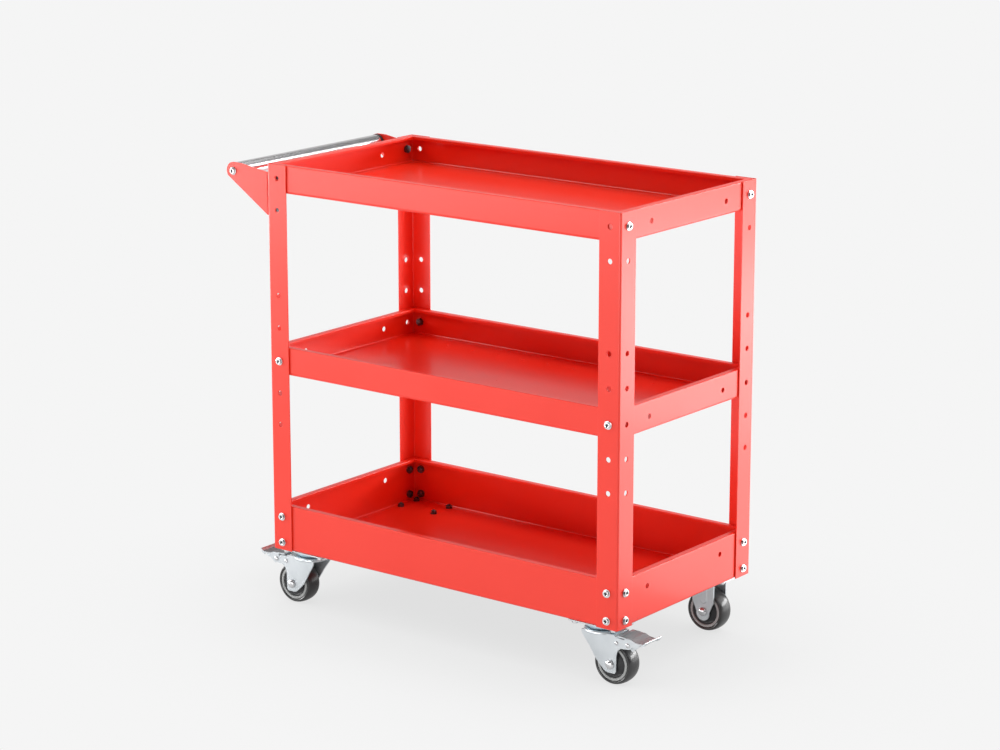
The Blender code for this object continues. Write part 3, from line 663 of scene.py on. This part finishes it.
fixed_fork = formed("fixed_fork", caster_plate(),
                    joins=[fixed_leg(1), fixed_leg(-1), rib_dies(1, True), rib_dies(-1, True)],
                    cuts=[rib_dies(1, False), rib_dies(-1, False), plate_holes()]
                    + [drills([end], SLOT_END_R, THROUGH, "Y") for end in SLOT],
                    edge=0.5, limit=30)
for tag in ("back_left", "back_right"):
    x, y, turn = CASTERS[tag]
    fit(f"fixed_fork_{tag}", fixed_fork, seat(x, y, 0, turn), zinc, "zinc", "cart",
        f"caster_fork_{tag}")

# ---- wheels -----------------------------------------------------------------------------
# Black polyurethane tread moulded round a light grey nylon core, with a black dust
# cover pressed into each side and an axle bolt through the hub.
tread, tree, skin, place = finish_coat("black_polyurethane", (0.022, 0.022, 0.023), 0.3,
                                       Coat_Weight=0.3, Coat_Roughness=0.1)
add_grain(tree, skin, place, 900.0, 20.0, 0.00005,
          ((0.016, 0.016, 0.017), (0.034, 0.033, 0.033)), (0.24, 0.42))
nylon, tree, skin, place = finish_coat("grey_nylon", (0.40, 0.40, 0.395), 0.6,
                                       Specular_IOR_Level=0.2)
add_grain(tree, skin, place, 900.0, 25.0, 0.00002,
          ((0.35, 0.355, 0.35), (0.42, 0.425, 0.42)), (0.52, 0.64))
half_tread = [(29.8, 12.9), (30.2, 13.9), (31.6, 14.9), (33.0, 15.3), (34.2, 14.7),
              (35.1, 13.2), (35.8, 11.2), (36.4, 8.6), (36.8, 5.4), (36.95, 2.6), (37.0, 0.6)]
tyre = [(r, -h) for r, h in half_tread] + [(37.08, 0.0)] + half_tread[::-1]
half_core = [(4.1, 16.6), (7.6, 16.6), (8.0, 16.2), (8.4, 10.4), (9.0, 9.6), (24.2, 9.6),
             (24.9, 10.4), (25.1, 14.2), (25.5, 14.7), (29.0, 14.7), (29.6, 14.1)]
core = half_core + [(r, -h) for r, h in half_core[::-1]]
cover = [(8.8, 10.6), (24.4, 10.6), (25.0, 11.2), (25.0, 12.6), (24.4, 13.2), (22.6, 13.2),
         (22.0, 12.6), (20.0, 12.4), (13.6, 13.6), (12.4, 14.6), (9.4, 14.8), (8.8, 14.2)]
tyre_mesh = formed("tyre", turned(tyre, 96, "Y", closed=True), edge=0.0, limit=50)
core_mesh = formed("core", turned(core, 72, "Y", closed=True), edge=0.0, limit=40)
cover_mesh = formed("cover", turned(cover, 72, "Y", closed=True), edge=0.0, limit=40)
HEAD_R, HEAD_AT, HEAD_RISE = 7.9, -21.6, 4.6
dome = [math.radians(a) for a in range(12, 91, 13)]
nose = [(HEAD_R * math.sin(a), HEAD_AT - HEAD_RISE * math.cos(a)) for a in dome]
shaft = ([(0.0, -26.2)] + nose
         + [(7.9, -20.9), (7.4, -20.5), (4.0, -20.5), (4.0, 20.5), (6.9, 20.5), (7.3, 21.0),
            (7.3, 24.8), (6.8, 25.4), (4.2, 25.4), (3.9, 25.0), (3.7, 25.6), (3.9, 26.0),
            (3.6, 26.5), (3.8, 26.9), (3.2, 27.5), (0.0, 27.5)])
bm = turned(shaft, 48)
six_sided(bm, 20.9, 24.9, NUT_FLATS, NUT_ROUND, 5.0)
six_sided(bm, 25.3, 25.45, NUT_FLATS, NUT_CHAMFER, 5.0)
bmesh.ops.rotate(bm, verts=bm.verts, matrix=Matrix.Rotation(-math.pi / 2, 3, "X"))
axle_mesh = formed("axle", bm, edge=0.0, limit=38)
for tag, (x, y, turn) in CASTERS.items():
    front = tag.startswith("front")
    out = TRAIL * (1 if turn == 0 else -1) if front else 0.0
    hub = seat(x + out, y, AXLE_Z)
    wheel = f"wheel_{tag}"
    fit(f"tyre_{tag}", tyre_mesh, hub, tread, "black_tyre", wheel, f"wheel_tyre_{tag}")
    fit(f"core_{tag}", core_mesh, hub, nylon, "grey_core", wheel, f"wheel_core_{tag}")
    for side, flip in (("a", 0), ("b", 180)):
        faced = hub @ Matrix.Rotation(math.radians(flip), 4, "X")
        fit(f"dust_cover_{tag}_{side}", cover_mesh, faced, black, "black_tyre", wheel)
    fit(f"axle_bolt_{tag}", axle_mesh, hub, bright, "bolt_steel",
        f"swivel_{tag}" if front else "cart", f"caster_axle_{tag}")

# ---- brake pedals -----------------------------------------------------------------------
# A pressed tongue with a skirt and an ear folded down each side; the ears hang on the
# fork's pivot rivet. Zinc plated; its upward faces are painted a dull dark grey, a painted
# reflection of the dark room above.
# Painted reflection: the dull dark grey that the pedal's top shows.
pedal_top_painted_dark, tree, skin, place = finish_coat("pedal_top_painted_reflection", (0.22, 0.27, 0.28), 0.5, 0.0,
                                            Specular_IOR_Level=0.3)
add_grain(tree, skin, place, 1300.0, 35.0, 0.00001,
          ((0.18, 0.22, 0.23), (0.26, 0.31, 0.32)), (0.36, 0.50))
tongue = [(-20.0, 12.4), (-14.0, 12.5), (-6.0, 12.2), (-2.0, 11.4), (1.0, 11.2), (4.0, 11.5),
          (7.0, 11.0), (10.0, 9.4), (14.0, 8.0), (19.0, 7.4), (24.0, 7.2), (28.0, 7.5),
          (31.0, 8.6), (34.6, 11.8), (35.6, 12.6), (36.4, 12.4), (37.0, 11.6), (36.8, 10.8),
          (33.0, 7.0), (30.0, 5.6), (27.0, 5.2), (22.0, 5.1), (16.0, 5.6), (11.0, 6.6),
          (7.4, 8.6), (4.0, 9.4), (0.0, 9.2), (-4.0, 9.8), (-10.0, 10.4), (-20.0, 10.4)]
ear = ([(-6.4, 10.8), (-7.0, 4.0), (-6.8, -1.0)] + arc(0.0, -0.6, 6.8, 200, 262, 5)
       + [(3.0, -7.6), (5.2, -9.6), (6.8, -9.9), (9.0, -8.6), (14.0, -4.6), (20.0, 0.4),
          (24.0, 4.2), (26.0, 6.0), (20.0, 6.4), (14.0, 6.8), (8.4, 8.8), (3.6, 10.2)])


skirt = [(-6.0, 10.8), (1.0, 10.6), (7.0, 10.4), (11.0, 8.4), (19.0, 6.8), (27.0, 6.6),
         (32.0, 8.6), (36.0, 12.2), (36.6, 11.4), (33.4, 5.6), (29.0, 3.0), (22.0, 1.6),
         (16.0, 0.4), (10.0, -1.4), (6.0, -1.6), (3.0, 1.0), (-2.0, 3.6), (-6.0, 4.6)]
HALF_PEDAL, EAR_IN, EAR_THICK, SKIRT_THICK, NIP_R = 21.5, 14.8, 2.0, 1.0, 4.2
ears = [plank(ear, s * EAR_THICK, s * EAR_IN, "Y") for s in (1, -1)]
skirts = [plank(skirt, SKIRT_THICK, y, "Y") for y in (-HALF_PEDAL, HALF_PEDAL - SKIRT_THICK)]
nips = [drills([(24.6, s * 24.4, 6.0)], NIP_R, 30, "Z") for s in (1, -1)]
pedal = formed("pedal", plank(tongue, 2 * HALF_PEDAL, -HALF_PEDAL, "Y"), joins=ears + skirts,
               cuts=nips + [drills([(0, 0, 0)], PIVOT_HOLE_R, 60, "Y")], edge=0.4, limit=32)
UPWARD, DARK_TOP_FROM, DARK_TOP_TO = 0.8, -14.0, 30.0
# Upward faces of the tongue take the painted reflection.
for face in pedal.polygons:
    face.material_index = int(face.normal.z > UPWARD and DARK_TOP_FROM < face.center.x < DARK_TOP_TO)
for tag in ("front_left", "front_right"):
    x, y, turn = CASTERS[tag]
    fit(f"foot_pedal_{tag}", pedal, seat(x, y, 0, turn) @ Matrix.Translation(PIVOT_AT),
        (zinc, pedal_top_painted_dark), "zinc", f"pedal_{tag}", f"brake_pedal_{tag}")

# ---- studio -----------------------------------------------------------------------------
# A plain pale paper floor that runs out of sight, glowing evenly, with a painted shadow:
# its glow is darkened where the cart closes it in, deeper still in the cart's reflections.
# A soft grey room round it, and broad lamps.
PALE, FLOOR_R = 0.913, 60.0
bm = bmesh.new()
bmesh.ops.create_circle(bm, cap_ends=True, segments=64, radius=FLOOR_R)
floor_mesh = bpy.data.meshes.new("floor")
bm.to_mesh(floor_mesh)
bm.free()
floor = bpy.data.objects.new("floor", floor_mesh)
bpy.context.scene.collection.objects.link(floor)
paper = bpy.data.materials.new("pale_paper_painted_shadow")
paper.use_nodes = True
tree = paper.node_tree
tree.nodes.clear()
# Painted shadow: ambient occlusion dims the floor's glow under and round the cart.
painted_shadow_ao = wire(tree, "ShaderNodeAmbientOcclusion", {"Distance": 0.5}, samples=16)


def paper_glow_painted_shadow(darkest):
    """The paper's even glow, with a painted shadow falling to its darkest where it is shut in.
    """
    shade = wire(tree, "ShaderNodeMapRange", {"Value": painted_shadow_ao.outputs["AO"], "From Min": 0.15,
                                              "To Min": darkest, "To Max": PALE})
    return wire(tree, "ShaderNodeEmission", {"Strength": shade.outputs["Result"]})


# The painted shadow is light as the camera sees it and far deeper in the cart's reflections.
painted_shadow_seen, painted_shadow_reflected = paper_glow_painted_shadow(0.74), paper_glow_painted_shadow(0.30)
seen = wire(tree, "ShaderNodeLightPath").outputs["Is Camera Ray"]
glow = wire(tree, "ShaderNodeMixShader", {0: seen, 1: painted_shadow_reflected.outputs[0], 2: painted_shadow_seen.outputs[0]})
wire(tree, "ShaderNodeOutputMaterial", {"Surface": glow.outputs[0]})
floor_mesh.materials.append(paper)

world = bpy.data.worlds.new("room")
bpy.context.scene.world = world
world.use_nodes = True
tree = world.node_tree
tree.nodes.clear()
way = wire(tree, "ShaderNodeTexCoord").outputs["Generated"]
rise = wire(tree, "ShaderNodeSeparateXYZ", {"Vector": way})
climb = wire(tree, "ShaderNodeMapRange", {"Value": rise.outputs["Z"], "From Max": 0.5,
                                          "To Min": 0.10, "To Max": 0.16})
room = wire(tree, "ShaderNodeBackground", {"Color": (1, 1, 1, 1)})
tree.links.new(climb.outputs["Result"], room.inputs["Strength"])
plain = wire(tree, "ShaderNodeBackground", {"Color": (PALE, PALE, PALE, 1), "Strength": 1.0})
seen = wire(tree, "ShaderNodeLightPath").outputs["Is Camera Ray"]
pick = wire(tree, "ShaderNodeMixShader", {0: seen, 1: room.outputs[0], 2: plain.outputs[0]})
wire(tree, "ShaderNodeOutputWorld", {"Surface": pick.outputs[0]})


def lamp(name, spot, aim, power, width, height):
    """A broad lamp that is not itself in view, in metres and watts."""
    light = bpy.data.lights.new(name, "AREA")
    light.shape, light.size, light.size_y, light.energy = "RECTANGLE", width, height, power
    ob = bpy.data.objects.new(name, light)
    bpy.context.scene.collection.objects.link(ob)
    ob.location = spot
    ob.rotation_euler = (Vector(aim) - Vector(spot)).to_track_quat("-Z", "Y").to_euler()
    ob.visible_camera = False


HEART, KNEE = (0, 0, 0.45), (0, 0, 0.4)
lamp("overhead", (0, 0, 3.0), HEART, 30, 2.0, 2.0)
lamp("over_behind", (0, 1.2, 3.0), HEART, 19, 2.0, 1.0)
lamp("left_front_high", (-2.2, -1.8, 2.6), HEART, 25, 1.6, 1.6)
lamp("right_front_high", (1.8, -1.8, 2.6), HEART, 7, 1.6, 1.6)
lamp("back_left_screen", (-2.1, 2.7, 1.6), (0, 0, 1.2), 10, 2.8, 2.6)
lamp("back_right_high", (1.5, 1.7, 2.1), HEART, 14, 1.2, 1.0)
lamp("right_mid", (2.3, 2.6, 1.05), HEART, 85, 2.8, 0.7)
lamp("right_high", (2.6, 0.6, 2.2), HEART, 16, 1.5, 1.2)
lamp("right_low", (1.6, 1.95, 0.2), (0.3, 0, 0.2), 5, 2.6, 0.36)
lamp("right_floor_far", (1.85, 2.0, 0.01), (1.85, 2.0, 1), 30, 1.6, 1.6)
lamp("right_floor_near", (1.0, 0.75, 0.01), (1.0, 0.75, 1), 4.5, 1.0, 1.0)
lamp("left_low", (-2.4, -2.7, 0.4), KNEE, 14, 2.2, 0.75)
lamp("far_left_low", (-3.2, -1.0, 0.4), KNEE, 57, 2.0, 0.75)
lamp("front_low", (0.4, -3.0, 0.4), KNEE, 25, 2.0, 0.75)

TILT_DOWN, TURN = 13.212, 37.722
view = bpy.data.cameras.new("view")
view.sensor_width, view.lens, view.shift_y = 36.0, 104.4, -0.04
camera = bpy.data.objects.new("view", view)
bpy.context.scene.collection.objects.link(camera)
camera.location = (2.978, -3.8427, 1.6451)
camera.rotation_euler = (math.radians(90 - TILT_DOWN), 0, math.radians(TURN))
view.clip_end = 200
bpy.context.scene.camera = camera
bpy.context.scene.view_settings.view_transform = "Standard"
